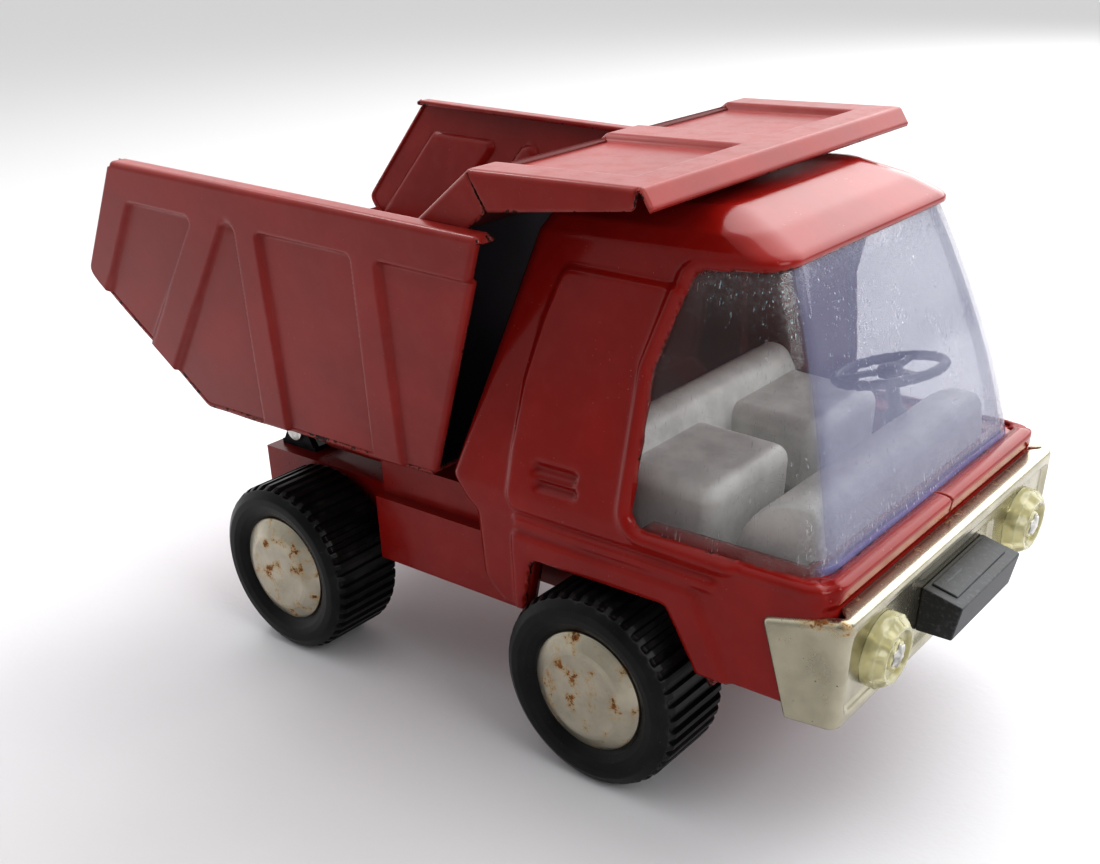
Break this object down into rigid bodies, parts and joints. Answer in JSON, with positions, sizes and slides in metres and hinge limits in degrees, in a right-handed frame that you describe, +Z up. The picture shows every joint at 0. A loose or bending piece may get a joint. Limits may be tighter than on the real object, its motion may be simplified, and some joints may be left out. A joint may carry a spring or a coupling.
{
  "type": "toy dump truck",
  "caption": "Pressed-steel toy dump truck with a wraparound windshield, tilting bed with a canopy over the cab, rolling wheels and a wrapped front bumper.",
  "frame": {"origin": "on the ground, centred under the truck in length and width", "axes": "+X forward towards the bumper, +Y to the truck's left, +Z up"},
  "size_m": [0.1562, 0.0766, 0.0876],
  "materials": {
    "red_enamel": "glossy baked enamel",
    "tyre_rubber": "satin moulded",
    "plated_steel": "bright nickel plate, rust spots",
    "hub_cap_metal": "dull plated, rust spots",
    "bare_steel": "drawn wire",
    "black_steel": "black dip",
    "clear_glazing": "clear with a faint violet tint",
    "amber_lens": "clear yellow, faceted",
    "black_plastic": "matte moulded",
    "dark_plastic": "matte moulded",
    "white_plastic": "satin moulded"
  },
  "bodies": {
    "chassis": {"chassis_frame": "red_enamel", "side_skirt_left": "red_enamel", "side_skirt_right": "red_enamel", "cab_crossbar_rear": "red_enamel", "cab_crossbar_front": "red_enamel", "hinge_bracket": "black_steel", "hinge_pin": "bare_steel", "cab_shell": "red_enamel", "windshield": "clear_glazing", "cab_interior": "white_plastic", "steering_column": "dark_plastic", "steering_wheel": "dark_plastic", "front_bumper": "plated_steel", "bumper_block": "black_plastic", "headlamp_left": "amber_lens", "headlamp_right": "amber_lens", "headlamp_rivet_left": "bare_steel", "headlamp_rivet_right": "bare_steel"},
    "dump_bed": {"bed_floor": "red_enamel", "bed_side_left": "red_enamel", "bed_side_right": "red_enamel", "bed_front_panel": "red_enamel", "bed_hinge_channel": "red_enamel", "bed_rivet_1": "red_enamel", "bed_rivet_2": "red_enamel", "bed_rivet_3": "red_enamel", "bed_rivet_4": "red_enamel"},
    "front_wheelset": {"axle_front": "bare_steel", "tyre_front_left": "tyre_rubber", "wheel_cap_front_left": "hub_cap_metal", "tyre_front_right": "tyre_rubber", "wheel_cap_front_right": "hub_cap_metal"},
    "rear_wheelset": {"axle_rear": "bare_steel", "tyre_rear_left": "tyre_rubber", "wheel_cap_rear_left": "hub_cap_metal", "tyre_rear_right": "tyre_rubber", "wheel_cap_rear_right": "hub_cap_metal"}
  },
  "joints": [
    {"name": "bed_tilt", "type": "hinge", "parent": "chassis", "child": "dump_bed", "pos_m": [-0.04453, 0, 0.0326], "axis": [0, -1, 0], "range_deg": [0, 50]},
    {"name": "front_axle_spin", "type": "hinge", "parent": "chassis", "child": "front_wheelset", "pos_m": [0.03462, 0, 0.015], "axis": [0, 1, 0], "continuous": true},
    {"name": "rear_axle_spin", "type": "hinge", "parent": "chassis", "child": "rear_wheelset", "pos_m": [-0.03168, 0, 0.015], "axis": [0, 1, 0], "continuous": true}
  ]
}
